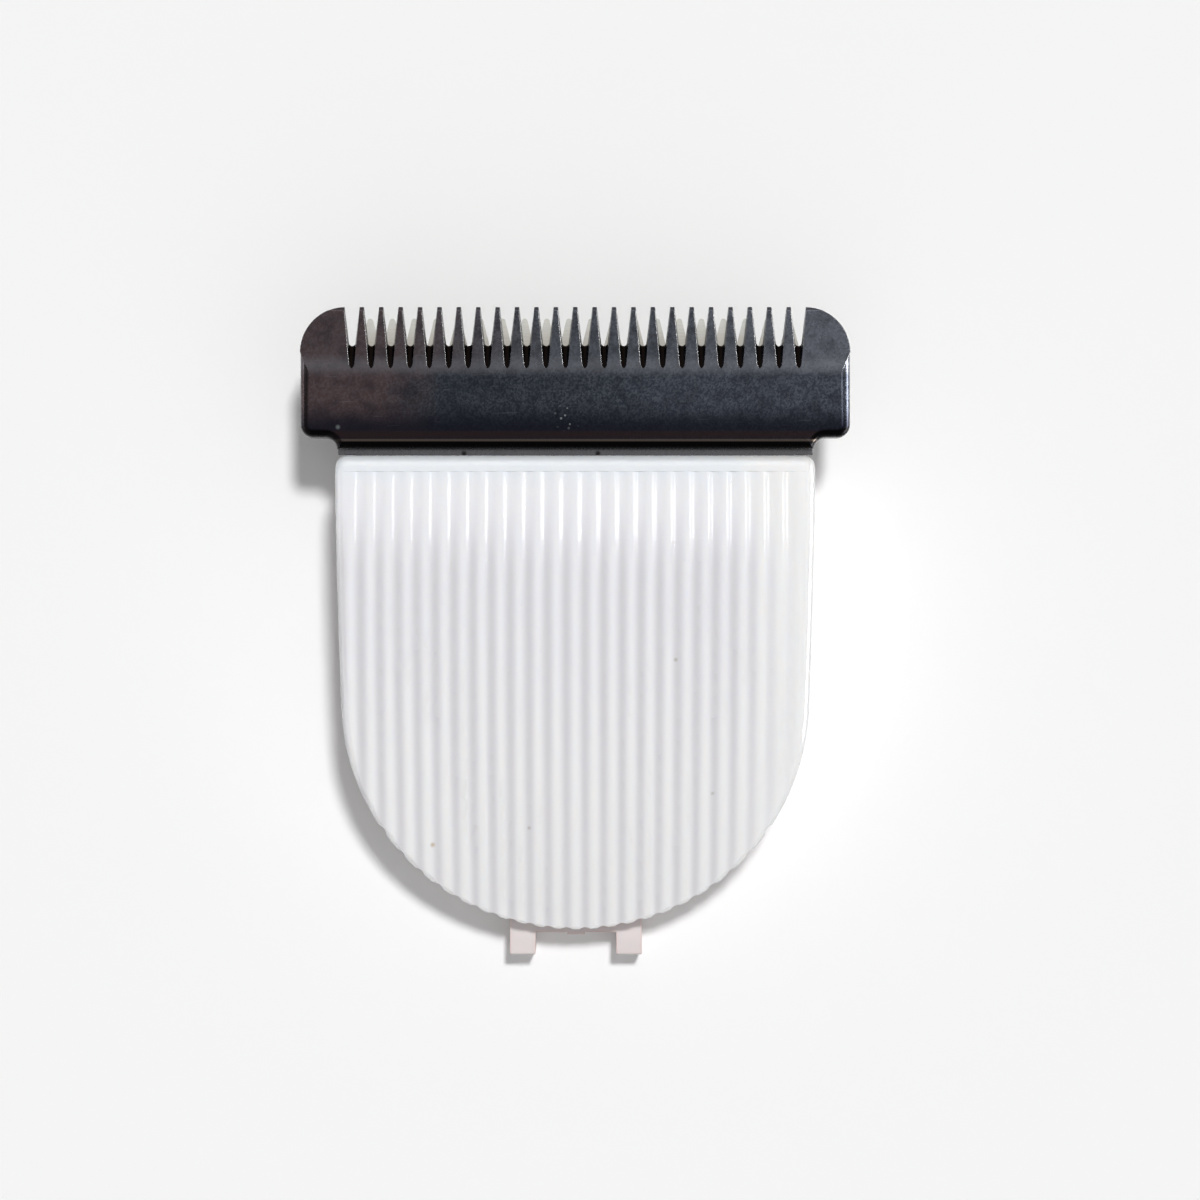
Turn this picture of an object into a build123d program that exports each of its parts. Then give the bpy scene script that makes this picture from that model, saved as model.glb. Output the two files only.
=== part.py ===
from build123d import *
import math
import os

# Snap-in head of a hair clipper, lying on its rear rim with the ribbed cover up.
# X runs across the teeth, Y from the hinge legs to the comb tips, Z out of the cover. Millimetres.

# Overall layout
overall_length = 49.4
comb_face_z = 10.8
apex_rise = 1.2
apex_setback = 17.5
rim_height = 3.6

# Fits between pieces
fit_gap = 0.1
slide_gap = 0.15
running_gap = 0.03
spring_gap = 0.05
screw_clearance = 0.15

# Comb blade: drawn steel cap, ground thin at the front and cut into teeth
comb_width = 41.3
comb_length = 10.65
sheet = 0.6
bend_radius = 0.7
bend_runout = 1.6
skirt_depth = 2.2
skirt_setback = 5.0
guard_radius = 3.4
ear_length = 9.8
ear_corner_radius = 0.95
neck_inset = 2.75
neck_flare = 0.95
grind_length = 4.3
tip_thickness = 0.32
tip_bevel = 0.3

# Comb teeth: gaps ground from the front, long and tapered there, shorter and narrow at the back
comb_teeth = 23
guard_width = 3.25
gap_front_tip = 1.26
gap_front_shoulder = 0.45
gap_front_straight = 4.2
gap_front_length = 4.65
gap_back_tip = 1.12
gap_back_shoulder = 0.48
gap_back_length = 2.92

# Ceramic cutter
cutter_teeth = 20
cutter_side_gap = 4.03
cutter_setback = 0.85
cutter_length = 8.0
cutter_thickness = 1.5
cutter_end = 0.85
cutter_tip_width = 0.4
cutter_tip_round = 0.14
cutter_tooth_length = 2.3
cutter_root_gap = 0.2
cutter_tip_thickness = 0.55
cutter_bevel_length = 3.2
cutter_rest_offset = 0.35

# Drive carrier under the cutter
carrier_width = 26.0
carrier_depth = 4.4
carrier_thickness = 1.45
carrier_edge_radius = 0.8
peg_radius = 0.9
peg_spacing = 16.0
peg_recess = 0.35
tail_side_gap = 0.27
tail_thickness = 2.6
tail_clearance = 0.4
drive_slot_width = 4.6
drive_slot_length = 6.8
drive_slot_roof = 1.0
drive_wall = 2.2
drive_block_height = 5.8
drive_block_gap = 0.75
cutter_travel = 1.1

# Ribbed cover
cover_top_width = 36.1
cover_top_setback = 11.15
cover_bottom_radius = 17.6
cover_wall = 1.3
cover_edge_radius = 0.9
lip_radius = 1.6
front_arc_radius = 25.0
back_drop = 6.66
rib_count = 25
rib_margin = 1.31
rib_depth = 0.11
crest_share = 0.5
rib_relief = 0.05
rib_stop = 1.24
flute_radius = 0.7
flute_depth = 0.2
flute_reach = 0.86
boss_radius = 2.3
tongue_width = 7.0
tongue_thickness = 1.0
tongue_nose = 0.5
tongue_foot = 1.2
tongue_nose_height = 1.1

# Rear frame with its hinge legs
rim_inset = 0.25
rim_edge_radius = 0.4
lip_wall = 1.0
lip_height = 0.8
land_thickness = 1.8
land_margin = 0.9
rail_width = 1.1
rail_inset = 1.35
leg_width = 1.98
leg_spacing = 8.22
leg_height = 3.2
leg_reach = 2.1
hinge_bar_proud = 0.37
hinge_bar_depth = 2.6
gate_width = 1.35
gate_proud = 0.15
leg_edge_radius = 0.15
bridge_rib_width = 1.4
bridge_rib_low = 2.4
bridge_rib_height = 1.8
hook_spacing = 10.0
hook_width = 2.4
hook_cap = 1.1
latch_length = 3.6
latch_proud = 0.5
latch_height = 1.4

# Pressure spring: one wire, a coil on each side, two arms under the carrier and a bridge between
wire = 0.7
coil_radius = 1.6
coil_turns = 3
coil_pitch = 0.85
coil_gap = 3.1
arm_gap = 0.8
arm_length = 14.6
bridge_run = 8.2
bridge_corner = 2.0
post_clearance = 0.1
post_tip = 0.4
post_bracket = 4.0

# Comb screws
screw_radius = 1.0
screw_length = 4.2
screw_head_radius = 1.9
screw_head_height = 1.4
screw_side_gap = 0.35
screw_end_gap = 0.15
recess_width = 0.5
recess_span = 2.3
recess_depth = 0.8

# Levels, from the comb face down to the rear
apex_z = comb_face_z + apex_rise
plate_back_z = comb_face_z - sheet
flange_back_z = comb_face_z - skirt_depth
flange_top_z = flange_back_z + sheet
cutter_front_z = plate_back_z - running_gap
cutter_back_z = cutter_front_z - cutter_thickness
carrier_back_z = cutter_back_z - carrier_thickness
spring_z = carrier_back_z - spring_gap - wire / 2
tail_top_z = flange_back_z - tail_clearance
tail_back_z = tail_top_z - tail_thickness
rail_top_z = spring_z - wire / 2 - slide_gap
land_back_z = flange_back_z - land_thickness
screw_tip_z = land_back_z + screw_length

# Places along Y, from the comb tips down to the legs
tip_y = overall_length / 2
foot_y = -overall_length / 2
comb_bottom_y = tip_y - comb_length
cutter_tip_y = tip_y - cutter_setback
cutter_rear_y = cutter_tip_y - cutter_length
peg_y = cutter_rear_y + carrier_depth / 2
cover_top_y = tip_y - cover_top_setback
apex_y = tip_y - apex_setback
cover_bottom_y = foot_y + leg_reach
back_run = apex_y - cover_bottom_y
back_arc_radius = (back_run ** 2 + back_drop ** 2) / (2 * back_drop)
bar_y = cover_bottom_y - hinge_bar_proud
lip_inset = cover_wall + fit_gap
frame_inset = lip_inset + lip_wall
rail_y = cover_top_y - rail_inset
block_top_y = cover_top_y - frame_inset - drive_block_gap
screw_y = cover_top_y - frame_inset - screw_head_radius - screw_end_gap
land_y = screw_y - screw_head_radius - land_margin
coil_y = land_y - coil_gap
bridge_y = coil_y - bridge_run

# Places across X, from the middle plane
comb_pitch = (comb_width - 2 * guard_width - gap_front_tip) / comb_teeth
neck_half = comb_width / 2 - neck_inset
cutter_half = comb_width / 2 - cutter_side_gap
cutter_pitch = 2 * (cutter_half - cutter_end) / (cutter_teeth - 1)
cover_half = cover_top_width / 2
rib_pitch = (cover_top_width - 2 * rib_margin) / (rib_count - 1)
flange_half = cover_half - cover_wall - 2 * fit_gap
screw_x = cover_half - frame_inset - screw_head_radius - screw_side_gap
opening_half = screw_x - screw_head_radius - land_margin
coil_x = opening_half - arm_gap
arm_lean = coil_pitch / (2 * math.pi * coil_radius)
arm_tip_x = coil_x - arm_lean * arm_length
tail_half = arm_tip_x - wire / 2 - cutter_travel - cutter_rest_offset - tail_side_gap
margin = 5.0


def prism(face, low, high):
    """Raise a plan outline into a solid between two heights."""
    return extrude(Pos(0, 0, low) * face, high - low, dir=(0, 0, 1))


def across(points, half_width):
    """Run a side profile, given as (y, z) points, both ways across X."""
    return extrude(Plane.YZ * make_face(Polyline(*points, close=True)), half_width, both=True)


def block(x_low, x_high, y_low, y_high, z_low, z_high):
    """A rectangular solid between two corners."""
    size = (x_high - x_low, y_high - y_low, z_high - z_low)
    return Pos(x_low, y_low, z_low) * Box(*size, align=(Align.MIN, Align.MIN, Align.MIN))


def both_sides(shape):
    """A solid and its mirror image across the middle plane."""
    return [shape, mirror(shape, about=Plane.YZ)]


def upright(radius, x, y, low, high):
    """A cylinder standing along Z."""
    base = (Align.CENTER, Align.CENTER, Align.MIN)
    return Pos(x, y, low) * Cylinder(radius, high - low, align=base)


# Comb blade


def cap_outline():
    """Plan outline of the drawn cap: ears at both sides, flowing into the narrower neck."""
    half = comb_width / 2
    ear_y = tip_y - ear_length
    neck = (neck_half, comb_bottom_y)
    flare = (neck_half + neck_flare, ear_y)
    corner_low = (half - ear_corner_radius, ear_y)
    corner_high = (half, ear_y + ear_corner_radius)
    front = tip_y + margin
    with BuildSketch() as sketch:
        with BuildLine() as line:
            Line((0, comb_bottom_y), neck)
            TangentArc(flare, neck, tangent=(-1, 0))
            Line(flare, corner_low)
            TangentArc(corner_low, corner_high, tangent=(1, 0))
            Line(corner_high, (half, front))
            Line((half, front), (0, front))
            mirror(line.line, about=Plane.YZ)
        make_face()
    return sketch.sketch.face()


def drawn_cap():
    """Sheet cap with a bent-back skirt round its sides, ears and neck, open at the front and back."""
    outline = cap_outline()
    skin = prism(outline, flange_back_z, comb_face_z)
    rim = skin.faces().sort_by(Axis.Z)[-1].edges().sort_by(Axis.Y)[:-1]
    skin = fillet(rim, bend_radius)
    hollow = prism(offset(outline, -sheet), flange_back_z - margin, plate_back_z)
    rim = hollow.faces().sort_by(Axis.Z)[-1].edges().sort_by(Axis.Y)[:-1]
    hollow = fillet(rim, bend_radius - sheet)
    return skin - hollow


def guard_plate():
    """Flat sheet in front of the bent skirt, as wide as the cap, for the teeth and the guards."""
    half = comb_width / 2
    front = tip_y + margin
    back = tip_y - guard_radius
    inner = half - bend_radius
    run = back - bend_runout
    outline = Polyline(
        (-half, front), (-half, back), (-inner, run), (inner, run), (half, back), (half, front),
        close=True,
    )
    return prism(make_face(outline), plate_back_z, comb_face_z)


def guard_form():
    """What the front edge and the round guard corners leave of the cap."""
    half = comb_width / 2
    form = block(-half, half, comb_bottom_y, tip_y, flange_back_z, comb_face_z)
    corners = form.edges().filter_by(Axis.Z).sort_by(Axis.Y)[-2:]
    return fillet(corners, guard_radius)


def skirt_trim():
    """Slanted cut that ends the side skirts behind the teeth."""
    start = tip_y - skirt_setback
    low = flange_back_z - margin
    points = [
        (start - (flange_back_z - low), low),
        (start + plate_back_z - flange_back_z, plate_back_z),
        (tip_y + margin, plate_back_z),
        (tip_y + margin, low),
    ]
    return across(points, comb_width)


def front_grind():
    """What the grinder takes off the front face, down to thin bevelled tips."""
    start = tip_y - grind_length
    drop = sheet - tip_thickness
    bevel_z = comb_face_z - drop * (1 - tip_bevel / grind_length)
    tip_z = plate_back_z + tip_thickness / 2
    slope = (tip_z - bevel_z) / tip_bevel
    points = [
        (start, comb_face_z),
        (tip_y - tip_bevel, bevel_z),
        (tip_y + tip_bevel, tip_z + slope * tip_bevel),
        (tip_y + tip_bevel, comb_face_z + margin),
        (start, comb_face_z + margin),
    ]
    return across(points, comb_width)


def gap_outline(tip_width, shoulder_width, straight, length, level):
    """One tooth gap at one face: tapering sides that close in a round end."""
    mouth = tip_y + tip_bevel
    taper = (tip_width - shoulder_width) / 2 / straight
    mouth_half = tip_width / 2 + taper * tip_bevel
    shoulder = (shoulder_width / 2, tip_y - straight)
    with BuildSketch(Plane.XY.offset(level)) as sketch:
        with BuildLine() as line:
            Line((0, mouth), (mouth_half, mouth))
            Line((mouth_half, mouth), shoulder)
            TangentArc(shoulder, (0, tip_y - length), tangent=(0, -1))
            mirror(line.line, about=Plane.YZ)
        make_face()
    return sketch.sketch.face()


def tooth_gap():
    """Cutting form of one gap: the sloping floor joins its front and back ends."""
    back_straight = gap_back_length - gap_back_shoulder / 2
    front = gap_outline(
        gap_front_tip, gap_front_shoulder, gap_front_straight, gap_front_length, comb_face_z
    )
    back = gap_outline(
        gap_back_tip, gap_back_shoulder, back_straight, gap_back_length, plate_back_z
    )
    return loft([back, front], ruled=True)


def comb_flange():
    """Strip behind the neck that the cover and the rear frame clamp, with its two screw holes."""
    wall_y = comb_bottom_y + sheet
    strip = block(-neck_half, neck_half, cover_top_y + fit_gap, wall_y, flange_back_z, flange_top_z)
    tongue = block(-flange_half, flange_half, land_y, wall_y, flange_back_z, flange_top_z)
    plate = strip + tongue
    corners = plate.edges().filter_by(Axis.Z).sort_by(Axis.Y)[:2]
    plate = fillet(corners, ear_corner_radius)
    hole_radius = screw_radius + screw_clearance
    hole = upright(hole_radius, screw_x, screw_y, flange_back_z - margin, comb_face_z)
    return plate - both_sides(hole)


def comb_blade():
    """Fixed comb: cap, ground front, row of tooth gaps and the mounting flange."""
    blade = (drawn_cap() + guard_plate()) & guard_form()
    blade = blade - skirt_trim() - front_grind()
    gap = tooth_gap()
    first = -comb_teeth * comb_pitch / 2
    gaps = [Pos(first + i * comb_pitch, 0, 0) * gap for i in range(comb_teeth + 1)]
    return blade - gaps + comb_flange()


# Moving cutter


def cutter_outline():
    """Plan outline of the ceramic: tapered teeth with round tips along the front edge."""
    first = cutter_end - cutter_half
    root_y = cutter_tip_y - cutter_tooth_length
    shoulder_y = cutter_tip_y - cutter_tip_round
    root_half = (cutter_pitch - cutter_root_gap) / 2
    tip_half = cutter_tip_width / 2
    with BuildSketch() as sketch:
        with BuildLine():
            for side in (-1, 1):
                Polyline(
                    (side * (root_half - first), root_y),
                    (side * cutter_half, root_y),
                    (side * cutter_half, cutter_rear_y),
                    (0, cutter_rear_y),
                )
            for i in range(cutter_teeth):
                x = first + i * cutter_pitch
                left = (x - tip_half, shoulder_y)
                right = (x + tip_half, shoulder_y)
                Line((x - root_half, root_y), left)
                ThreePointArc(left, (x, cutter_tip_y), right)
                Line(right, (x + root_half, root_y))
                if i < cutter_teeth - 1:
                    Line((x + root_half, root_y), (x + cutter_pitch - root_half, root_y))
        make_face()
    return sketch.sketch.face()


def cutter_blade():
    """Ceramic cutter, bevelled thin under its teeth, with the two holes for the carrier's pegs."""
    plate = prism(cutter_outline(), cutter_back_z, cutter_front_z)
    points = [
        (cutter_tip_y - cutter_bevel_length, cutter_back_z),
        (cutter_tip_y, cutter_front_z - cutter_tip_thickness),
        (cutter_tip_y + margin, cutter_front_z - cutter_tip_thickness),
        (cutter_tip_y + margin, cutter_back_z - margin),
        (cutter_tip_y - cutter_bevel_length, cutter_back_z - margin),
    ]
    hole = upright(peg_radius, peg_spacing / 2, peg_y, cutter_back_z, cutter_front_z)
    plate = plate - across(points, comb_width) - both_sides(hole)
    return Pos(cutter_rest_offset, 0, 0) * plate


def drive_block():
    """Tail of the carrier with the slot that the drive pin works in."""
    block_half = drive_slot_width / 2 + drive_wall
    slot_half = drive_slot_width / 2
    block_back_z = tail_top_z - drive_block_height
    slot_top_y = block_top_y - drive_wall / 2
    slot_low_y = slot_top_y - drive_slot_length
    tail = block(-tail_half, tail_half, block_top_y - drive_wall, peg_y, tail_back_z, tail_top_z)
    body = block(-block_half, block_half, slot_low_y - drive_wall / 2, block_top_y, block_back_z, tail_top_z)
    body = fillet(body.edges().filter_by(Axis.Z), carrier_edge_radius)
    slot_roof_z = tail_top_z - drive_slot_roof
    slot = block(-slot_half, slot_half, slot_low_y, slot_top_y, block_back_z, slot_roof_z)
    groove_half = rail_width / 2 + slide_gap
    groove_low = rail_y - groove_half
    groove_high = rail_y + groove_half
    groove_roof_z = rail_top_z + slide_gap
    groove = block(-tail_half, tail_half, groove_low, groove_high, tail_back_z, groove_roof_z)
    return tail + body - slot - groove


def cutter_carrier():
    """Moulded slider: a plate pegged to the ceramic, and the tail that the clipper drives."""
    half = carrier_width / 2
    plate = block(-half, half, cutter_rear_y, cutter_rear_y + carrier_depth, carrier_back_z, cutter_back_z)
    plate = fillet(plate.edges().filter_by(Axis.Z), carrier_edge_radius)
    peg = upright(peg_radius, peg_spacing / 2, peg_y, cutter_back_z, cutter_front_z - peg_recess)
    return Pos(cutter_rest_offset, 0, 0) * (plate + both_sides(peg) + drive_block())


# Ribbed cover


def cover_outline():
    """Plan outline: tapered sides that run tangent into one round lower end."""
    corner = Vector(cover_half, cover_top_y)
    centre = Vector(0, cover_bottom_y + cover_bottom_radius)
    reach = corner - centre
    turn = math.atan2(reach.Y, reach.X) - math.acos(cover_bottom_radius / reach.length)
    touch = centre + Vector(math.cos(turn), math.sin(turn)) * cover_bottom_radius
    with BuildSketch() as sketch:
        with BuildLine():
            Polyline((-touch.X, touch.Y), (-corner.X, corner.Y), corner, touch)
            ThreePointArc(touch, (0, cover_bottom_y), (-touch.X, touch.Y))
        make_face()
    return sketch.sketch.face()


def face_height(y, radius, inset):
    """Height of one arc of the front face, lowered by an inset."""
    return apex_z - radius + math.sqrt((radius - inset) ** 2 - (y - apex_y) ** 2)


def side_profile(inset, base_z):
    """Side profile under the front face: long back arc, short front arc and the rolled lip."""
    back_y = cover_bottom_y - margin
    lip_y = cover_top_y - lip_radius
    front_centre_z = apex_z - front_arc_radius
    arm = front_arc_radius - lip_radius
    lip_z = front_centre_z + math.sqrt(arm ** 2 - (lip_y - apex_y) ** 2)
    stretch = (front_arc_radius - inset) / arm
    join = (apex_y + (lip_y - apex_y) * stretch, front_centre_z + (lip_z - front_centre_z) * stretch)
    top = (apex_y, apex_z - inset)
    with BuildSketch(Plane.YZ) as sketch:
        with BuildLine():
            TangentArc(top, (back_y, face_height(back_y, back_arc_radius, inset)), tangent=(-1, 0))
            front = TangentArc(top, join, tangent=(1, 0))
            TangentArc(join, (cover_top_y - inset, lip_z), tangent=front % 1)
            Polyline(
                (cover_top_y - inset, lip_z),
                (cover_top_y - inset, base_z),
                (back_y, base_z),
                (back_y, face_height(back_y, back_arc_radius, inset)),
            )
        make_face()
    return sketch.sketch.face()


def rounded_rim(body):
    """Edges between the front face and the walls, and the two upright corners beside the comb."""
    def wanted(edge):
        box = edge.bounding_box()
        on_rim = box.max.Z < rim_height + fit_gap
        seam_across = box.size.Y < fit_gap and box.size.Z < fit_gap
        seam_upright = box.size.X < fit_gap and box.size.Y < fit_gap and box.max.Y < apex_y
        return not (on_rim or seam_across or seam_upright)
    return body.edges().filter_by(wanted)


def cover_shell():
    """Smooth hollow cover, before its ribs are cut."""
    outline = cover_outline()
    half = cover_top_width
    body = prism(outline, rim_height, apex_z + margin)
    body = body & extrude(side_profile(-rib_relief, 0), half, both=True)
    body = fillet(rounded_rim(body), cover_edge_radius)
    hollow = prism(offset(outline, -cover_wall), 0, apex_z + margin)
    return body - (hollow & extrude(side_profile(cover_wall, 0), half, both=True))


def rib_section():
    """Cross-section of what the ribs leave open above them: round crests and round grooves."""
    run = crest_share * rib_pitch / 2
    fall = crest_share * rib_depth
    last = (rib_count - 1) / 2 * rib_pitch
    side = cover_top_width
    with BuildSketch() as sketch:
        with BuildLine():
            Polyline((-last, apex_z), (-side, apex_z), (-side, apex_z + margin), (0, apex_z + margin))
            for i in range(rib_count - 1):
                x = -last + i * rib_pitch
                groove_x = x + rib_pitch / 2
                down = TangentArc((x, apex_z), (x + run, apex_z - fall), tangent=(1, 0))
                up = (x + rib_pitch - run, apex_z - fall)
                ThreePointArc(down @ 1, (groove_x, apex_z - rib_depth), up)
                TangentArc((x + rib_pitch, apex_z), up, tangent=(-1, 0))
            Polyline((last, apex_z), (side, apex_z), (side, apex_z + margin), (0, apex_z + margin))
        make_face()
    return Plane.XZ.offset(-apex_y) * sketch.sketch.face()


def rib_cut(radius, direction, reach):
    """The rib section swung over one arc of the front face, as far as its reach along Y."""
    axis = Axis((0, apex_y, apex_z - radius), (direction, 0, 0))
    return revolve(rib_section(), axis, math.degrees(math.asin(reach / radius)))


def edge_flutes():
    """Shallow flutes that carry each groove over the round lower edge."""
    centre_y = cover_bottom_y + cover_bottom_radius
    flutes = []
    for i in range(rib_count - 1):
        x = (i - rib_count / 2 + 1) * rib_pitch
        if abs(x) < flute_reach * cover_bottom_radius:
            angle = math.acos(x / cover_bottom_radius)
            reach = cover_bottom_radius + flute_radius - flute_depth
            place = (reach * math.cos(angle), centre_y - reach * math.sin(angle))
            flutes.append(upright(flute_radius, *place, 0, apex_z))
    return flutes


def tongue_band(outer, inner, low, high):
    """Short stretch of a wall that follows the round lower end between two insets."""
    half = tongue_width / 2
    band = inset_prism(outer, low, high) - inset_prism(inner, low - margin, high + margin)
    return band & block(-half, half, cover_bottom_y, cover_bottom_y + cover_bottom_radius / 2, low, high)


def cover_tongue():
    """Hook inside the lower end that snaps into the pocket of the rear frame."""
    outer = frame_inset + fit_gap
    inner = outer + tongue_thickness
    blade = tongue_band(outer, inner, tongue_foot, apex_z)
    blade = blade & extrude(side_profile(cover_wall / 2, 0), tongue_width, both=True)
    nose = tongue_band(outer - tongue_nose, inner, tongue_foot, tongue_foot + tongue_nose_height)
    return blade + nose


def cover():
    """Ribbed front cover with its screw bosses and snap tongue."""
    back_ribs = rib_cut(back_arc_radius, 1, back_run + margin)
    front_ribs = rib_cut(front_arc_radius, -1, cover_top_y - rib_stop - apex_y)
    shell = cover_shell() - back_ribs - front_ribs - edge_flutes()
    boss = upright(boss_radius, screw_x, screw_y, flange_top_z, apex_z - cover_wall)
    hole = upright(screw_radius, screw_x, screw_y, flange_top_z, screw_tip_z + fit_gap)
    reach = flange_half + fit_gap
    mouth = block(-reach, reach, cover_top_y - cover_wall, cover_top_y + margin, 0, flange_top_z + fit_gap)
    return shell - mouth + both_sides(boss) + cover_tongue() - both_sides(hole)


# Rear frame


def inset_prism(inset, low, high):
    """The cover's outline, drawn in by an inset and raised between two heights."""
    return prism(offset(cover_outline(), -inset), low, high)


def frame_ring():
    """Rear rim, with the lip that locates the cover."""
    rim = inset_prism(rim_inset, 0, rim_height)
    rim = fillet(rim.faces().sort_by(Axis.Z)[0].edges(), rim_edge_radius)
    lip = inset_prism(lip_inset, 0, rim_height + lip_height)
    return rim + lip - inset_prism(frame_inset, -margin, apex_z)


def frame_lands():
    """Two raised lands under the comb flange, with the walls that carry them and their screw holes."""
    half_plane = block(opening_half, cover_half, land_y, cover_top_y, rim_height, flange_back_z)
    walls = inset_prism(lip_inset, rim_height, flange_back_z) - inset_prism(frame_inset, 0, apex_z)
    tops = inset_prism(lip_inset, land_back_z, flange_back_z)
    hole_radius = screw_radius + screw_clearance
    hole = upright(hole_radius, screw_x, screw_y, rim_height, flange_top_z)
    land = (walls + tops) & half_plane
    return both_sides(land - hole)


def guide_rail():
    """Rail across the opening that the groove of the carrier rides on."""
    low = rail_y - rail_width / 2
    return block(-opening_half, opening_half, low, low + rail_width, rim_height, rail_top_z)


def spring_posts():
    """Pins inside the coils of the pressure spring, each on a bracket of the side wall."""
    coil_z = spring_z - coil_radius
    post_radius = coil_radius - wire / 2 - post_clearance
    inner = coil_x - post_tip
    bracket = inset_prism(lip_inset, rim_height, coil_z + post_bracket / 2)
    bracket = bracket - inset_prism(frame_inset, 0, apex_z)
    low = coil_y - post_bracket / 2
    bracket = bracket & block(0, cover_half, low, low + post_bracket, 0, apex_z)
    pin = extrude(Plane.YZ.offset(inner) * Pos(coil_y, coil_z) * Circle(post_radius), cover_half - inner)
    pin = pin & inset_prism(lip_inset, 0, apex_z)
    return both_sides(bracket + pin)


def bridge_rib():
    """Cross rib with the two hooks that hold the bridge of the spring down."""
    front_y = bridge_y - wire / 2 - fit_gap
    back_y = front_y - bridge_rib_width
    rib_top = bridge_rib_low + bridge_rib_height
    rib = block(-cover_half, cover_half, back_y, front_y, bridge_rib_low, rib_top)
    rib = rib & inset_prism(lip_inset, 0, apex_z)
    cap_z = spring_z + wire / 2 + spring_gap
    points = [
        (back_y, bridge_rib_low),
        (front_y, bridge_rib_low),
        (front_y, cap_z),
        (bridge_y + wire / 2, cap_z),
        (bridge_y + wire / 2, cap_z + hook_cap / 2),
        (front_y, cap_z + hook_cap),
        (back_y, cap_z + hook_cap),
    ]
    hook = across(points, hook_width / 2)
    return [rib] + [Pos(side * hook_spacing / 2, 0, 0) * hook for side in (-1, 1)]


def hinge_end():
    """Hinge bar with its two legs and the small trimmed gate mark between them."""
    reach = leg_spacing / 2 + leg_width / 2
    bar = block(-reach, reach, bar_y, bar_y + hinge_bar_depth, 0, leg_height)
    leg = block(leg_spacing / 2 - leg_width / 2, reach, foot_y, bar_y + hinge_bar_depth, 0, leg_height)
    end = leg.faces().sort_by(Axis.Y)[0]
    leg = fillet(end.edges(), leg_edge_radius)
    gate = block(-gate_width / 2, gate_width / 2, bar_y - gate_proud, bar_y, 0, leg_height)
    return [bar, gate] + both_sides(leg)


def latch_ribs():
    """Wedge ribs inside the rim that click over the nose of the clipper."""
    wall = cover_half - frame_inset
    section = Polyline(
        (wall + lip_wall, 0), (wall + lip_wall, latch_height), (wall - latch_proud, latch_height / 2),
        close=True,
    )
    rib = extrude(Plane.XZ * make_face(section), latch_length / 2, both=True)
    return both_sides(Pos(0, screw_y, 0) * rib)


def snap_pocket():
    """Pocket in the rim that the tongue of the cover hooks into."""
    low = tongue_foot - fit_gap
    high = tongue_foot + tongue_nose_height + fit_gap
    half = tongue_width / 2 + fit_gap
    pocket = inset_prism(frame_inset - tongue_nose, low, high)
    return pocket & block(-half, half, cover_bottom_y, cover_bottom_y + frame_inset * 2, low, high)


def rear_frame():
    """Moulded rear frame that carries the comb, the spring and the hinge legs."""
    frame = frame_ring() + frame_lands() + guide_rail() + spring_posts() + bridge_rib()
    frame = frame + hinge_end() + latch_ribs()
    return frame - snap_pocket()


# Spring and screws


def pressure_spring():
    """Double torsion spring bent from one wire."""
    start = Vector(coil_x, coil_y, spring_z)
    finish = start + Vector(coil_turns * coil_pitch, 0, 0)
    corner = Vector(finish.X + arm_lean * bridge_run, bridge_y, spring_z)
    arm = Line(start + Vector(-arm_lean, 1, 0) * arm_length, start)
    centre = start - Vector(0, 0, coil_radius)
    coil_plane = Plane(origin=centre, x_dir=(0, 0, 1), z_dir=(1, 0, 0))
    coil = coil_plane * Helix(coil_pitch, coil_turns * coil_pitch, coil_radius)
    bridge = FilletPolyline(finish, corner, (0, bridge_y, spring_z), radius=bridge_corner)
    path = Wire(arm.edges() + coil.edges() + bridge.edges())
    section = Plane(origin=path @ 0, z_dir=path % 0) * Circle(wire / 2)
    half = sweep(section, path)
    return half + mirror(half, about=Plane.YZ)


def comb_screw():
    """Pan-head screw with a cross recess, driven from the rear."""
    head_z = land_back_z - screw_head_height
    shank = upright(screw_radius, 0, 0, land_back_z, screw_tip_z)
    head = upright(screw_head_radius, 0, 0, head_z, land_back_z)
    head = fillet(head.edges().sort_by(Axis.Z)[0], screw_head_height / 3)
    slot = Pos(0, 0, head_z) * Box(recess_span, recess_width, 2 * recess_depth)
    return shank + head - slot - Rot(0, 0, 90) * slot


def comb_screws():
    """The two equal screws."""
    return Compound(children=[Pos(side * screw_x, screw_y, 0) * comb_screw() for side in (-1, 1)])


os.makedirs("parts", exist_ok=True)
pieces = [comb_blade, cutter_blade, cutter_carrier, cover, rear_frame, pressure_spring, comb_screws]
for piece in pieces:
    export_step(piece(), f"parts/{piece.__name__}.step")
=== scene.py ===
"""Looks of a snap-in hair clipper head, lying on its rear rim and seen from straight above."""

import math

import bpy
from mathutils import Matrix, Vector

MM = 0.001

# Ribbed face of the cover, in millimetres of the part's own frame; a pair is the two ends of a change
RIB_PITCH = 1.395
LIP_BLUE_Y = (10.4, 13.0)
# Grey in the lower grooves, partly dust and partly painted shade, starts, is full and ends at these Y; the
# painted light towards the foot uses the last two
DUST_AND_SHADE_START_Y = 11.0
DUST_AND_SHADE_FULL_Y = 4.2
DUST_AND_SHADE_LOW_Y = -18.0
# Painted light: from here to the right edge the cover is painted whiter and its groove grey fades
LIT_RIGHT_X = (10.5, 17.0)
DARK_SPECKS = ((7.54, -1.79, 11.4), (10.37, -11.93, 9.34), (-3.5, -14.6, 8.52))
BROWN_SPECK = (-10.8, -15.9, 8.1)

# Rings that the pins of the mould leave, and the seam of the mould, in millimetres
PIN_LINE = 0.1
COVER_PIN_RADIUS = 1.5
COVER_PINS = ((-9.0, -3.0), (9.0, -3.0), (-6.5, -13.5), (6.5, -13.5))
FRAME_PIN_RADIUS = 0.55
FRAME_PINS = ((-16.2, -2.5), (16.2, -2.5), (-13.3, -14.3), (13.3, -14.3), (-9.0, 12.2), (9.0, 12.2))
SEAM_Z = 3.3
SEAM_HALF = 0.07
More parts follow.
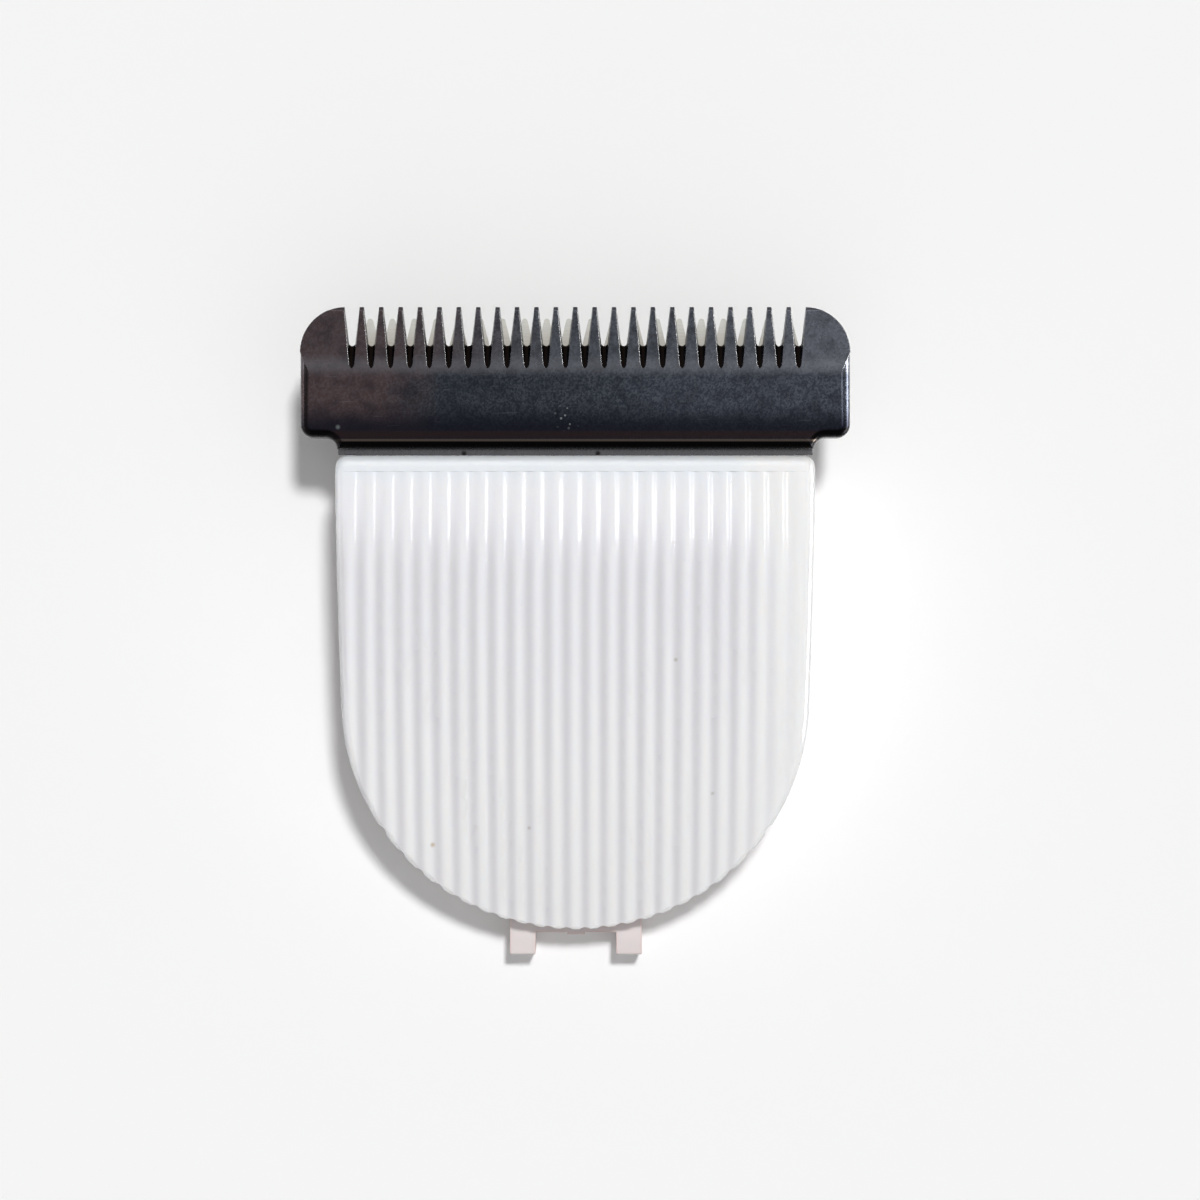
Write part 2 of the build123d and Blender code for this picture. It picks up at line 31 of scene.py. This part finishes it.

# Comb, in millimetres; a pair is the two ends of a change
# Painted reflections on the comb: warm brown giving way to blue-black, and paler towards the right, on the
# plate and on the ground face
PLATE_BLUE_X = (-11.5, -7.5)
PLATE_PALE_X = (-2.0, 10.0)
GROUND_BLUE_X = (-17.0, 0.0)
GROUND_PALE_X = (2.0, 19.0)
GRAIN_X = (-16.0, 6.0)
GROUND_Y = (19.4, 20.4)
# Painted reflection: a paler band where the face bends into the ground taper
BAND_Y = 20.3
BAND_HALF = 1.0
# Painted shade on the tooth gap floors, then painted highlight along tooth edges that face right
PIT_Y = (22.1, 22.0)
RIM_Y = (19.9, 20.2)
TIP_Y = (24.4, 24.5)
# Painted shade along the comb's foot
SHADE_Y = (17.8, 15.6)
BROWN_LINE_Y = 15.1
BROWN_LINE_HALF = 0.42
# Painted highlight along the crease where the foot starts to roll
CREASE_Y = 14.68
CREASE_HALF = 0.13
STRIP_TOP_Z = 9.3
BARE_FLECK = (-17.8, 15.66, 10.8)
WORN_PATCH = (-0.6, 16.5, 10.8)
STRIP_MARKS = ((-8.4, 13.75, 9.2), (1.7, 13.75, 9.2))

# Painted shade on the ceramic teeth, from tip to root, in millimetres
TOOTH_Y = (23.7, 21.6)

# Camera: straight above the comb face
CAMERA_PLACE = Vector((1.86, 2.69, 260.8)) * MM
CAMERA_LENS = 100.0
SENSOR_WIDTH = 36.0

# Studio: far lamps, the level of the surroundings as light and as seen, and the table
SUN_TOWARDS = Vector((1.45, 3.5, 9.5))
SUN_STRENGTH = 2.08
SUN_WIDTH = math.radians(7.0)
FILL_TOWARDS = Vector((1.2, -3.4, 4.5))
FILL_STRENGTH = 0.52
FILL_WIDTH = math.radians(80.0)
AMBIENT = 0.2
BACKGROUND = 0.95
FLOOR_SIZE = 4.0
FLOOR_WHITE = 0.965

# Cards that show as reflections: place and size in millimetres, turn in degrees, brightness
RIB_CARD = ((190, 100, 420), (50, 180), (0, 0, 0), 11.5)
RIGHT_CARD = ((50, 10, 8), (12, 60), (0, 90, 0), 20.0)
LEFT_CARD = ((-300, 20, 25), (40, 300), (0, -90, 0), 8.0)
TIP_CARD = ((0, 300, 90), (500, 140), (-90, 0, 0), 2.5)


def paint(red, green, blue):
    """A display colour, 0 to 255, as the linear colour that a shader takes."""

    def linear(value):
        share = value / 255
        return share / 12.92 if share <= 0.04045 else ((share + 0.055) / 1.055) ** 2.4

    return (linear(red), linear(green), linear(blue), 1.0)


class Finish:
    """One procedural material while it is put together."""

    def __init__(self, name):
        self.material = bpy.data.materials.new(name)
        self.material.use_nodes = True
        self.tree = self.material.node_tree
        self.shader = self.tree.nodes["Principled BSDF"]
        inputs = {"Vector": self.add("ShaderNodeTexCoord").outputs["Object"], "Scale": 1 / MM}
        self.mm = self.add("ShaderNodeVectorMath", inputs, operation="SCALE").outputs["Vector"]
        self.x, self.y, self.z = self.axes(self.mm)

    def add(self, kind, inputs=None, **settings):
        """Add a node; an input is given a value, or joined to another node's output."""
        made = self.tree.nodes.new(kind)
        for name, value in settings.items():
            setattr(made, name, value)
        for name, value in (inputs or {}).items():
            self.feed(made.inputs[name], value)
        return made

    def feed(self, socket, value):
        """Join an output to a socket, or set the socket's value."""
        if isinstance(value, bpy.types.NodeSocket):
            self.tree.links.new(value, socket)
        else:
            socket.default_value = value

    def set(self, **inputs):
        """Set or join the shader's own sockets, named with underscores for spaces."""
        for name, value in inputs.items():
            self.feed(self.shader.inputs[name.replace("_", " ")], value)

    def math(self, operation, first, second=0.0):
        """One step of arithmetic."""
        return self.add("ShaderNodeMath", {0: first, 1: second}, operation=operation).outputs[0]

    def times(self, share, *others):
        """The product of two or more values."""
        for other in others:
            share = self.math("MULTIPLY", share, other)
        return share

    def away(self, value, centre):
        """How far a value lies from a centre."""
        return self.math("ABSOLUTE", self.math("SUBTRACT", value, centre))

    def reach(self, vector, centre):
        """How far a point lies from a centre."""
        return self.add("ShaderNodeVectorMath", {0: vector, 1: centre}, operation="DISTANCE").outputs["Value"]

    def axes(self, vector):
        """The three parts of a vector."""
        return self.add("ShaderNodeSeparateXYZ", {"Vector": vector}).outputs

    def stretch(self, turn, scale):
        """The part's coordinates, turned about Z and stretched."""
        inputs = {"Vector": self.mm, "Rotation": (0, 0, turn), "Scale": scale}
        return self.add("ShaderNodeMapping", inputs).outputs["Vector"]

    def noise(self, scale, detail=3.0, vector=None):
        """Cloudy pattern, with its scale per millimetre."""
        inputs = {"Vector": vector or self.mm, "Scale": scale, "Detail": detail}
        return self.add("ShaderNodeTexNoise", inputs).outputs["Fac"]

    def cells(self, scale):
        """Pattern of small cells, with its scale per millimetre."""
        inputs = {"Vector": self.mm, "Scale": scale}
        return self.add("ShaderNodeTexVoronoi", inputs, feature="F1").outputs

    def span(self, value, low, high, start=0.0, end=1.0):
        """Carry a value smoothly from one range to another."""
        inputs = {"Value": value, "From Min": low, "From Max": high, "To Min": start, "To Max": end}
        return self.add("ShaderNodeMapRange", inputs, interpolation_type="SMOOTHSTEP").outputs["Result"]

    def mix(self, share, first, second):
        """Blend from a first to a second colour."""
        made = self.add("ShaderNodeMix", data_type="RGBA")
        self.feed(made.inputs[0], share)
        self.feed(made.inputs[6], first)
        self.feed(made.inputs[7], second)
        return made.outputs[2]

    def spot(self, centre, inner, outer):
        """One around a point, falling to nothing at an outer distance."""
        return self.span(self.reach(self.mm, centre), outer, inner)

    def rings(self, places, radius):
        """Fine rings around places in plan."""
        plan = self.add("ShaderNodeCombineXYZ", {"X": self.x, "Y": self.y}).outputs["Vector"]
        share = 0.0
        for x, y in places:
            offset = self.away(self.reach(plan, (x, y, 0.0)), radius)
            share = self.math("MAXIMUM", self.span(offset, PIN_LINE, 0.0), share)
        return share

    def lean(self):
        """The surface's own direction, as three numbers."""
        return self.axes(self.add("ShaderNodeTexCoord").outputs["Normal"])

    def softened(self, radius):
        """A surface direction that rounds the edges over."""
        return self.add("ShaderNodeBevel", {"Radius": radius * MM}, samples=8).outputs["Normal"]

    def edges(self, radius, amount):
        """A share that rises along sharp edges."""
        plain = self.add("ShaderNodeNewGeometry").outputs["Normal"]
        inputs = {0: self.softened(radius), 1: plain}
        bend = self.add("ShaderNodeVectorMath", inputs, operation="DOT_PRODUCT").outputs["Value"]
        return self.span(bend, 0.995, 0.86, 0.0, amount)

    def bump(self, height, depth, under=None):
        """Fine relief of a depth in millimetres, on top of another one if there is one."""
        inputs = {"Height": height, "Distance": depth * MM}
        if under is not None:
            inputs["Normal"] = under
        return self.add("ShaderNodeBump", inputs).outputs["Normal"]


def cover_white(finish):
    """White of the cover: bluish at the lip, with painted light that makes it brighter towards its foot and
    its right side.
    """
    white = finish.mix(finish.noise(0.12, 2.0), paint(240, 240, 245), paint(244, 244, 247))
    white = finish.mix(finish.span(finish.y, *LIP_BLUE_Y), white, paint(237, 241, 248))
    # painted light: whiter towards the foot, where the face turns away from the sun
    white = finish.mix(finish.span(finish.y, DUST_AND_SHADE_FULL_Y, DUST_AND_SHADE_LOW_Y), white, paint(252, 251, 253))
    # painted light: whiter towards the right side
    return finish.mix(finish.span(finish.x, *LIT_RIGHT_X), white, paint(252, 252, 254))


def groove_dust_and_shade(finish, upward):
    """Share of grey in the outer grooves, partly dust and partly painted shade of the rib hollows: none at
    the lip, little at the right.
    """
    wave = finish.math("COSINE", finish.times(finish.x, 2 * math.pi / RIB_PITCH))
    return finish.times(
        finish.times(finish.math("SUBTRACT", 1.0, wave), 0.5),
        finish.span(finish.y, DUST_AND_SHADE_START_Y, DUST_AND_SHADE_FULL_Y),
        finish.span(finish.y, DUST_AND_SHADE_LOW_Y, DUST_AND_SHADE_FULL_Y, 0.85, 1.0),
        finish.span(upward, 0.0, 0.2),
        finish.span(finish.x, *LIT_RIGHT_X, 1.0, 0.3),
    )


def cover_plastic():
    """White moulded plastic: bluish lip, painted light at the foot and right side, dust and painted shade in
    the lower grooves, small specks, pin marks inside.
    """
    finish = Finish("cover_plastic")
    upward = finish.lean()["Z"]
    # grey in the grooves: dust and painted shade of the rib hollows
    colour = finish.mix(groove_dust_and_shade(finish, upward), cover_white(finish), paint(222, 221, 224))
    for speck in DARK_SPECKS:
        colour = finish.mix(finish.spot(speck, 0.05, 0.24), colour, paint(194, 190, 185))
    colour = finish.mix(finish.spot(BROWN_SPECK, 0.05, 0.3), colour, paint(208, 194, 177))
    pins = finish.times(finish.rings(COVER_PINS, COVER_PIN_RADIUS), finish.span(upward, -0.3, -0.6))
    colour = finish.mix(finish.times(pins, 0.5), colour, paint(196, 197, 200))
    skin = finish.noise(3.2, 4.0)
    ripple = finish.noise(1.0, 2.0, finish.stretch(0, (1.5, 3.0, 1.0)))
    ripple = finish.math("SUBTRACT", ripple, finish.times(pins, 4.0))
    finish.set(
        Base_Color=colour,
        Roughness=finish.span(skin, 0.3, 0.7, 0.12, 0.19),
        Normal=finish.bump(skin, 0.006, under=finish.bump(ripple, 0.01)),
        Subsurface_Weight=1.0,
        Subsurface_Radius=(1.0, 0.95, 0.9),
        Subsurface_Scale=0.5 * MM,
    )
    return finish.material


def frame_plastic():
    """Warm white moulding: a painted pink glow of light through its thin edges, a mould seam and pin marks
    underneath.
    """
    finish = Finish("frame_plastic")
    upward = finish.lean()["Z"]
    warm = finish.mix(finish.noise(0.35), paint(215, 206, 205), paint(224, 216, 215))
    # painted light: pink glow of light shining through the thin edges
    colour = finish.mix(finish.edges(0.35, 0.45), warm, paint(222, 182, 174))
    pins = finish.times(finish.rings(FRAME_PINS, FRAME_PIN_RADIUS), finish.span(upward, -0.8, -0.95))
    upright = finish.span(finish.math("ABSOLUTE", upward), 0.3, 0.1)
    seam = finish.times(finish.span(finish.away(finish.z, SEAM_Z), SEAM_HALF, 0.0), upright)
    marks = finish.math("SUBTRACT", finish.times(seam, 0.5), pins)
    skin = finish.noise(2.6, 4.0)
    finish.set(
        Base_Color=finish.mix(finish.times(pins, 0.4), colour, paint(176, 164, 160)),
        Roughness=finish.span(skin, 0.3, 0.7, 0.34, 0.48),
        Normal=finish.bump(skin, 0.01, under=finish.bump(marks, 0.05, under=finish.softened(0.15))),
        Subsurface_Weight=0.12,
        Subsurface_Radius=(0.9, 0.4, 0.3),
        Subsurface_Scale=0.6 * MM,
    )
    return finish.material


def comb_tone(finish, grain):
    """Colour of the comb's face with painted reflections, warm brown at one end giving way to blue-black and
    paler to the right, a pale band, and painted shade along its foot.
    """
    x, y = finish.x, finish.y
    # painted reflection: a warm left and a bright bluish right mirrored in the face
    drifting = finish.math("ADD", x, finish.times(finish.noise(0.3, 2.0), 6.0))
    plate = finish.mix(finish.span(drifting, *PLATE_BLUE_X), paint(67, 54, 55), paint(38, 42, 49))
    plate = finish.mix(finish.span(x, *PLATE_PALE_X), plate, paint(50, 54, 63))
    ground = finish.mix(finish.span(x, *GROUND_BLUE_X), paint(68, 57, 58), paint(64, 67, 73))
    ground = finish.mix(finish.span(x, *GROUND_PALE_X), ground, paint(78, 80, 88))
    tone = finish.mix(finish.span(y, *GROUND_Y), plate, ground)
    speckle = finish.times(finish.span(grain, 0.3, 0.75), finish.span(x, *GRAIN_X, 0.14, 0.26))
    tone = finish.mix(speckle, tone, paint(104, 108, 115))
    blotches = finish.span(finish.noise(0.9, 4.0), 0.4, 0.7, 0.0, 0.45)
    tone = finish.mix(blotches, tone, paint(28, 29, 35))
    # painted reflection: a paler band where the face bends into the ground taper
    band = finish.span(finish.away(y, BAND_Y), BAND_HALF, 0.0, 0.0, 0.3)
    tone = finish.mix(band, tone, paint(112, 114, 120))
    # painted shade: darker along the foot
    return finish.mix(finish.span(y, *SHADE_Y, 0.0, 0.9), tone, paint(21, 22, 30))


def comb_marks(finish, tone):
    """Small bare flecks and faint scratches on the comb's face."""
    chips = finish.math("LESS_THAN", finish.cells(2.2)["Distance"], 0.2)
    worn = finish.times(chips, finish.spot(WORN_PATCH, 0.3, 1.3))
    fleck = finish.times(finish.spot(BARE_FLECK, 0.05, 0.24), 0.6)
    bare = finish.times(finish.math("MAXIMUM", worn, fleck), 0.6)
    tone = finish.mix(bare, tone, paint(130, 138, 138))
    scratches = finish.noise(1.0, 2.0, finish.stretch(-0.6, (0.3, 7.0, 1.0)))
    return finish.mix(finish.span(scratches, 0.68, 0.76, 0.0, 0.15), tone, paint(120, 122, 128))


def comb_teeth(finish, tone):
    """Painted shade on the floors of the tooth gaps, painted highlights along the tooth edges that face
    right, and dark tips.
    """
    lean = finish.lean()
    # painted shade: the gap floors, deep and mirroring the dark, are painted near black
    pit = finish.times(
        finish.span(lean["Z"], 0.99, 0.96),
        finish.span(finish.math("ABSOLUTE", lean["X"]), 0.8, 0.5),
        finish.span(lean["Y"], 0.0, 0.1),
        finish.span(finish.y, *PIT_Y),
    )
    tone = finish.mix(pit, tone, paint(19, 14, 12))
    # painted highlight: a bright line along the tooth edges that face the light on the right
    rim = finish.times(
        finish.span(finish.axes(finish.softened(0.07))["X"], 0.1, 0.4),
        finish.span(lean["Z"], 0.97, 0.99),
        finish.span(finish.y, *RIM_Y),
    )
    tone = finish.mix(rim, tone, paint(176, 176, 176))
    return finish.mix(finish.span(finish.y, *TIP_Y, 0.0, 0.8), tone, paint(26, 25, 27))


def comb_foot(finish, tone):
    """Brown line, then painted shade and highlight: a black rolled foot with a painted pale highlight at its
    crease, and painted shade on the left bend.
    """
    lean = finish.lean()
    brown = finish.span(finish.away(finish.y, BROWN_LINE_Y), BROWN_LINE_HALF, 0.1, 0.0, 0.8)
    tone = finish.mix(brown, tone, paint(38, 29, 29))
    # painted shade: the rolled foot, facing away from the light, is painted near black
    tone = finish.mix(finish.span(lean["Y"], -0.03, -0.3), tone, paint(8, 7, 8))
    # painted highlight along the crease
    crease = finish.span(finish.away(finish.y, CREASE_Y), CREASE_HALF, 0.03, 0.0, 0.6)
    tone = finish.mix(crease, tone, paint(84, 75, 68))
    # painted shade: the left bend, facing away from the light, is painted darker
    left = finish.times(finish.span(lean["X"], -0.05, -0.3), finish.span(lean["X"], -0.8, -0.6), 0.8)
    return finish.mix(left, tone, paint(17, 15, 16))


def comb_strip(finish, tone):
    """Grey strip of the flange below the rolled foot, with its two small dark marks."""
    strip = paint(90, 89, 92)
    for mark in STRIP_MARKS:
        strip = finish.mix(finish.spot(mark, 0.05, 0.3), strip, paint(36, 33, 33))
    low = finish.math("LESS_THAN", finish.z, STRIP_TOP_Z)
    return finish.mix(finish.times(low, finish.span(finish.lean()["Z"], 0.8, 0.95)), tone, strip)


def comb_steel():
    """Dark coated steel: fine rolled grain, bare flecks, a painted pale band of reflection at the ground edge
    and a black rolled foot of painted shade.
    """
    finish = Finish("comb_steel")
    pebbles = finish.times(finish.cells(8.0)["Color"], 0.6)
    grain = finish.math("ADD", pebbles, finish.times(finish.noise(4.0, 5.0), 0.4))
    tone = comb_marks(finish, comb_tone(finish, grain))
    tone = comb_foot(finish, comb_teeth(finish, tone))
    finish.set(
        Base_Color=comb_strip(finish, tone),
        Metallic=1.0,
        Roughness=finish.span(grain, 0.3, 0.7, 0.22, 0.32),
        Normal=finish.bump(grain, 0.0015, under=finish.softened(0.045)),
    )
    return finish.material


def cutter_ceramic():
    """Cream zirconia with fine lapping lines, and painted shade that darkens the teeth towards their roots
    under the comb.
    """
    finish = Finish("cutter_ceramic")
    colour = finish.mix(finish.noise(0.5), paint(202, 201, 194), paint(211, 210, 204))
    colour = finish.mix(finish.span(finish.y, *TOOTH_Y, 0.0, 0.7), colour, paint(170, 165, 155))
    lines = finish.noise(1.0, 3.0, finish.stretch(0, (0.4, 14.0, 4.0)))
    finish.set(
        Base_Color=colour,
        Roughness=finish.span(lines, 0.3, 0.7, 0.22, 0.36),
        Normal=finish.bump(lines, 0.003),
        Subsurface_Weight=0.15,
        Subsurface_Radius=(0.5, 0.4, 0.3),
        Subsurface_Scale=0.5 * MM,
    )
    return finish.material


def carrier_plastic():
    """Dark self-lubricating plastic with a dull moulded skin."""
    finish = Finish("carrier_plastic")
    skin = finish.noise(4.0, 5.0)
    colour = finish.mix(finish.noise(0.6), paint(58, 59, 62), paint(70, 71, 74))
    rubbed = finish.span(skin, 0.62, 0.78, 0.0, 0.4)
    finish.set(
        Base_Color=finish.mix(rubbed, colour, paint(98, 99, 102)),
        Roughness=finish.span(skin, 0.3, 0.7, 0.42, 0.58),
        Normal=finish.bump(skin, 0.02),
    )
    return finish.material


def spring_steel():
    """Drawn wire with fine marks along its length."""
    finish = Finish("spring_steel")
    marks = finish.noise(1.0, 4.0, finish.stretch(0, (9.0, 1.2, 9.0)))
    finish.set(
        Base_Color=finish.mix(marks, paint(150, 150, 150), paint(196, 196, 194)),
        Metallic=1.0,
        Roughness=finish.span(marks, 0.3, 0.7, 0.22, 0.4),
        Normal=finish.bump(marks, 0.006),
    )
    return finish.material


def screw_steel():
    """Plated screw steel, cloudy and a little rough."""
    finish = Finish("screw_steel")
    marks = finish.noise(6.0, 4.0)
    finish.set(
        Base_Color=finish.mix(finish.span(marks, 0.35, 0.6), paint(156, 155, 152), paint(188, 187, 184)),
        Metallic=1.0,
        Roughness=finish.span(marks, 0.3, 0.7, 0.26, 0.42),
        Normal=finish.bump(marks, 0.006),
    )
    return finish.material


def dress(piece, material):
    """Give a piece its finish."""
    piece.data.materials.clear()
    piece.data.materials.append(material)


def make_floor():
    """Pale table under the head."""
    bpy.ops.mesh.primitive_plane_add(size=FLOOR_SIZE)
    floor = bpy.context.object
    floor.name = "floor"
    finish = Finish("table_white")
    finish.set(
        Base_Color=(FLOOR_WHITE, FLOOR_WHITE, FLOOR_WHITE, 1.0),
        Roughness=0.9,
        Specular_IOR_Level=0.0,
    )
    dress(floor, finish.material)


def make_world():
    """Even surroundings that light the head weakly and show as a pale background."""
    world = bpy.data.worlds.new("studio")
    bpy.context.scene.world = world
    world.use_nodes = True
    tree = world.node_tree

    def either(first, second):
        made = tree.nodes.new("ShaderNodeMath")
        made.operation = "MAXIMUM"
        tree.links.new(first, made.inputs[0])
        tree.links.new(second, made.inputs[1])
        return made.outputs[0]

    rays = tree.nodes.new("ShaderNodeLightPath").outputs
    mirrored = either(rays["Is Glossy Ray"], rays["Is Transmission Ray"])
    level = tree.nodes.new("ShaderNodeMapRange")
    level.inputs["To Min"].default_value = AMBIENT
    level.inputs["To Max"].default_value = BACKGROUND
    tree.links.new(either(rays["Is Camera Ray"], mirrored), level.inputs["Value"])
    background = tree.nodes["Background"]
    background.inputs["Color"].default_value = (1.0, 1.0, 1.0, 1.0)
    tree.links.new(level.outputs["Result"], background.inputs["Strength"])


def make_sun(name, towards, strength, width):
    """Far lamp that lights the surfaces and leaves their gloss to the cards."""
    lamp = bpy.data.lights.new(name, "SUN")
    lamp.energy = strength
    lamp.angle = width
    sun = bpy.data.objects.new(name, lamp)
    sun.rotation_mode = "QUATERNION"
    sun.rotation_quaternion = towards.to_track_quat("Z", "Y")
    sun.visible_glossy = False
    bpy.context.scene.collection.objects.link(sun)


def make_card(name, place, size, turn, brightness):
    """Bright card that only shows as a reflection."""
    width, height = (length * MM for length in size)
    lamp = bpy.data.lights.new(name, "AREA")
    lamp.shape = "RECTANGLE"
    lamp.size = width
    lamp.size_y = height
    lamp.energy = brightness * math.pi * width * height
    card = bpy.data.objects.new(name, lamp)
    card.location = Vector(place) * MM
    card.rotation_euler = [math.radians(angle) for angle in turn]
    card.visible_camera = False
    card.visible_diffuse = False
    card.visible_transmission = False
    bpy.context.scene.collection.objects.link(card)


def make_lights():
    """Main light from the upper right, a wide weak fill, and the cards around the head."""
    make_sun("sun", SUN_TOWARDS, SUN_STRENGTH, SUN_WIDTH)
    make_sun("fill", FILL_TOWARDS, FILL_STRENGTH, FILL_WIDTH)
    make_card("rib_card", *RIB_CARD)
    make_card("right_card", *RIGHT_CARD)
    make_card("left_card", *LEFT_CARD)
    make_card("tip_card", *TIP_CARD)


def make_camera():
    """Camera straight above the head."""
    data = bpy.data.cameras.new("camera")
    data.lens = CAMERA_LENS
    data.sensor_width = SENSOR_WIDTH
    data.clip_start = 10 * MM
    camera = bpy.data.objects.new("camera", data)
    camera.location = CAMERA_PLACE
    bpy.context.scene.collection.objects.link(camera)
    bpy.context.scene.camera = camera


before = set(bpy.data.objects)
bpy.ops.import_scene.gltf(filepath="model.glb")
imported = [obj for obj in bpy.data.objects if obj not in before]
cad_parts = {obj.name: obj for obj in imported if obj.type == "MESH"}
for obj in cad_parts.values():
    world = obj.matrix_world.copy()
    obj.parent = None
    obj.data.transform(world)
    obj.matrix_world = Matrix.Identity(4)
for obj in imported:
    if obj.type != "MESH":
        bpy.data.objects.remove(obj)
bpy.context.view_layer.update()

finishes = {
    "cover": cover_plastic,
    "rear_frame": frame_plastic,
    "comb_blade": comb_steel,
    "cutter_blade": cutter_ceramic,
    "cutter_carrier": carrier_plastic,
    "pressure_spring": spring_steel,
    "comb_screws": screw_steel,
}
for name, make_finish in finishes.items():
    dress(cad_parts[name], make_finish())

make_floor()
make_world()
make_lights()
make_camera()
bpy.context.scene.view_settings.view_transform = "Standard"
